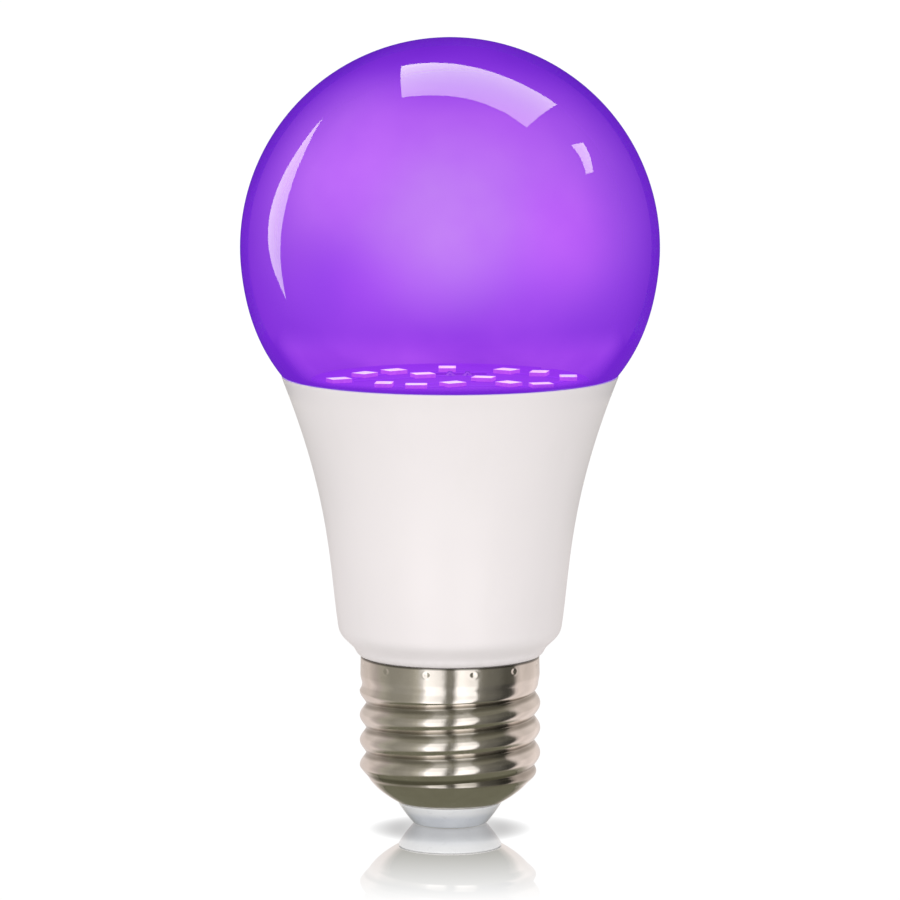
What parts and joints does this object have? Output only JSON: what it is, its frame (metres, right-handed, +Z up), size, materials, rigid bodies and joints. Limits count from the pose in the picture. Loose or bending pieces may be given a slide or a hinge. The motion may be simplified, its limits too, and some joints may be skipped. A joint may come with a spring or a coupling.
{
  "type": "smart light bulb",
  "caption": "Round-domed LED lamp with a flared plastic housing and a right-hand screw cap, lit violet, with its driver and radio board inside.",
  "frame": {"origin": "centre of the tip contact's face, the lowest point of the lamp", "axes": "+Z up the lamp's axis from the cap to the dome; -Y is the front; the driver board stands in the XZ direction"},
  "size_m": [0.0602, 0.0602, 0.1138],
  "materials": {
    "dome": "opal diffuser, glossy, lit from inside",
    "seal": "cured silicone bead",
    "housing_plastic": "off-white moulded plastic, soft gloss",
    "cup_aluminium": "drawn sheet, satin",
    "thermal_pad": "soft grey pad",
    "led_board_mask": "white solder mask on an aluminium board",
    "led_package": "white LED package",
    "led_window": "lit silicone window",
    "tinned_pin": "tinned brass",
    "sleeve_plastic": "natural white plastic",
    "driver_board": "green circuit board",
    "chip_plastic": "moulded chip package",
    "capacitor_sleeve": "printed sleeve on an aluminium can, left plain",
    "capacitor_sleeve_dark": "dark sleeve on an aluminium can, left plain",
    "ferrite": "dark grey ferrite",
    "bobbin_plastic": "black moulded plastic",
    "winding_tape": "yellow tape over a copper winding",
    "choke_ferrite": "ferrite drum wound with copper wire",
    "film_capacitor": "yellow boxed capacitor",
    "resistor_body": "lacquered resistor",
    "radio_board": "black circuit board",
    "shield_steel": "tin-plated steel can",
    "antenna_copper": "gold-plated copper track",
    "wire_red": "insulated wire",
    "wire_white": "insulated wire",
    "cap_nickel": "nickel-plated brass sheet, bright",
    "insulator": "white insulator, soft gloss",
    "contact_brass": "tin-soldered brass"
  },
  "bodies": {
    "root": {"diffuser_dome": "dome", "dome_seal": "seal", "housing": "housing_plastic", "heat_sink_cup": "cup_aluminium", "thermal_pad": "thermal_pad", "led_board": "led_board_mask", "led_packages": "led_package", "led_emitters": "led_window", "led_feed_pins": "tinned_pin", "driver_sleeve": "sleeve_plastic", "driver_board": "driver_board", "driver_ic": "chip_plastic", "bridge_rectifier": "chip_plastic", "bulk_capacitor": "capacitor_sleeve", "output_capacitor": "capacitor_sleeve_dark", "transformer_core": "ferrite", "transformer_bobbin": "bobbin_plastic", "transformer_winding": "winding_tape", "filter_choke": "choke_ferrite", "film_capacitor": "film_capacitor", "fuse_resistor": "resistor_body", "radio_board": "radio_board", "radio_shield": "shield_steel", "radio_antenna": "antenna_copper", "live_lead": "wire_red", "neutral_lead": "wire_white", "screw_shell": "cap_nickel", "cap_insulator": "insulator", "center_contact": "contact_brass"}
  },
  "joints": []
}
